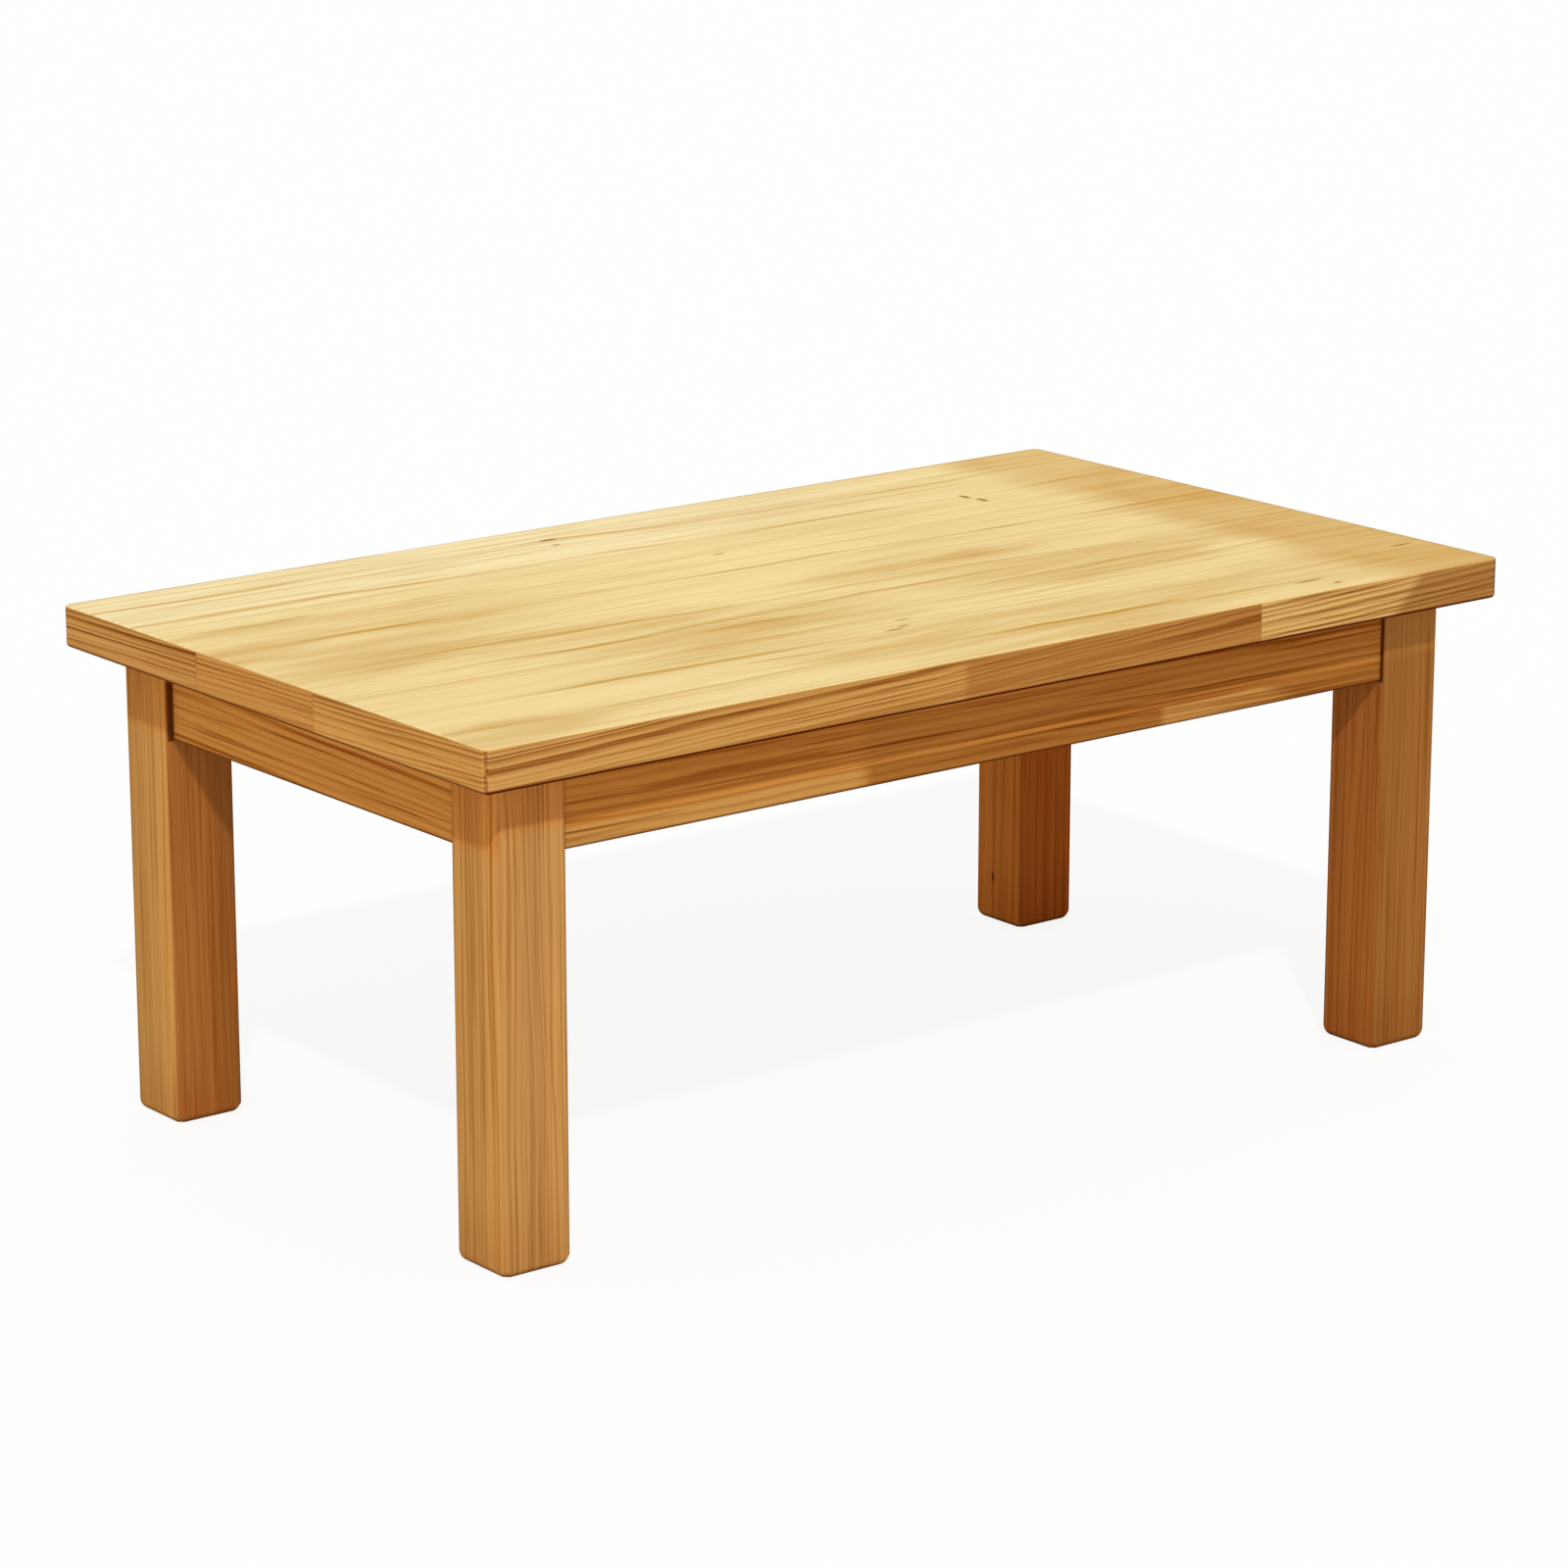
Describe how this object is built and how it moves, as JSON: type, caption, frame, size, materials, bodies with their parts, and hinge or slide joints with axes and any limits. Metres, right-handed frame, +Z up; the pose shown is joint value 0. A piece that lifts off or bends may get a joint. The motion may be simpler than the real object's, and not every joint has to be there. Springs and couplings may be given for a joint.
{
  "type": "kotatsu table",
  "caption": "Low rectangular wooden table on square legs, with a lift-off top and an electric fan heater hung in a railed bay under its centre.",
  "frame": {"origin": "on the floor, under the middle of the tabletop", "axes": "+Z up, +X along the long side towards the right end, -Y towards the front long side"},
  "size_m": [1.05, 0.6, 0.43],
  "materials": {
    "pine_top": "clear satin lacquer on bleached pine veneer",
    "pine_edge": "clear satin lacquer on streaked pine bands",
    "pine_leg": "clear satin lacquer on edge-glued pine",
    "pine_apron": "clear satin lacquer on pine",
    "plywood": "sanded",
    "softwood": "planed",
    "beech": "turned",
    "honeycomb": "raw paper",
    "grip_rubber": "matte",
    "zinc_steel": "zinc plated",
    "housing_paint": "semi-gloss grey",
    "bright_aluminium": "polished",
    "quartz": "frosted",
    "coil_wire": "oxidised resistance wire",
    "ceramic": "unglazed white",
    "guard_black": "satin black",
    "motor_steel": "pressed",
    "fan_plastic": "moulded",
    "black_plastic": "moulded",
    "brass": "bright",
    "wire_cover": "silicone sleeve"
  },
  "bodies": {
    "frame": {"leg_front_left": "pine_leg", "leg_front_right": "pine_leg", "leg_back_left": "pine_leg", "leg_back_right": "pine_leg", "apron_front": "pine_apron", "apron_back": "pine_apron", "apron_left": "pine_apron", "apron_right": "pine_apron", "grip_pads": "grip_rubber", "apron_dowels": "beech", "rail_dowels": "beech", "corner_brackets": "zinc_steel", "bracket_screws": "zinc_steel", "hanger_bolts": "zinc_steel", "bolt_washers": "zinc_steel", "wing_nuts": "zinc_steel", "heater_rail_left": "softwood", "heater_rail_right": "softwood", "heater_rail_front": "softwood", "heater_rail_back": "softwood", "heater_housing": "housing_paint", "heater_mount_screws": "zinc_steel", "heater_reflector": "bright_aluminium", "quartz_tubes": "quartz", "heating_coils": "coil_wire", "tube_end_caps": "ceramic", "tube_holders": "zinc_steel", "guard_skirt": "guard_black", "guard_wires": "guard_black", "guard_screws": "zinc_steel", "thermostat": "black_plastic", "thermal_fuse": "ceramic", "power_inlet": "black_plastic", "inlet_pins": "brass", "inlet_screws": "zinc_steel", "heater_wires": "wire_cover", "fan_motor_can": "motor_steel", "fan_motor_cap": "motor_steel", "fan_motor_stator": "motor_steel", "fan_motor_screws": "zinc_steel"},
    "tabletop": {"tabletop_face_veneer": "pine_top", "tabletop_upper_board": "plywood", "tabletop_lower_board": "plywood", "tabletop_core_stiles": "softwood", "tabletop_core_ribs": "softwood", "tabletop_core_filling": "honeycomb", "edge_band_front": "pine_edge", "edge_band_back": "pine_edge", "edge_band_left": "pine_edge", "edge_band_right": "pine_edge"},
    "heater_fan": {"fan_rotor": "motor_steel", "fan_shaft": "zinc_steel", "fan_impeller": "fan_plastic"}
  },
  "joints": [
    {"name": "tabletop_lift", "type": "slide", "parent": "frame", "child": "tabletop", "axis": [0, 0, 1], "range_m": [0, 0.3]},
    {"name": "heater_fan_spin", "type": "hinge", "parent": "frame", "child": "heater_fan", "pos_m": [0, 0, 0.35], "axis": [0, 0, 1], "continuous": true}
  ]
}
